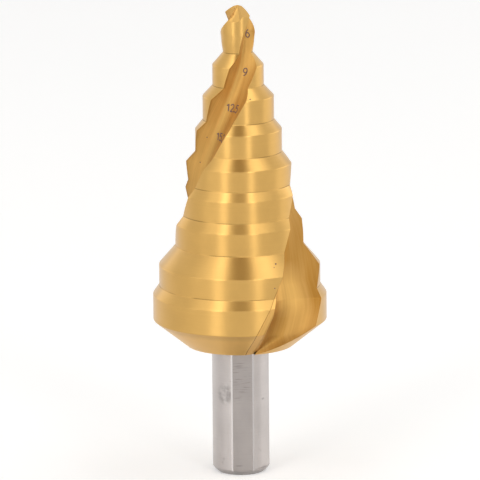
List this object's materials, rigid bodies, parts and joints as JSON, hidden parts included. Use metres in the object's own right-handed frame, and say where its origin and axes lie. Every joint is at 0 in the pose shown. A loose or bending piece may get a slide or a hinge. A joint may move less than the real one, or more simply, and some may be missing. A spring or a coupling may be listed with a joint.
{
  "type": "step drill",
  "caption": "Stepped cone drill bit for thin sheet, with a split point, spiral flutes, a gold-coloured coated head and a bare steel shank with ground flats.",
  "frame": {"origin": "middle of the shank's end face, on the drill's axis", "axes": "+Z along the drill's axis from the shank to the point, -Y towards the side on which the first flute crosses the smaller steps, +X to its right"},
  "size_m": [0.0304, 0.0304, 0.0835],
  "materials": {
    "coated_steel": "gold-coloured hard coating over ground steel",
    "bare_steel": "ground, satin",
    "etched_marks": "dark numbers etched into the coating"
  },
  "bodies": {
    "root": {"step_drill": "coated_steel"}
  },
  "joints": []
}
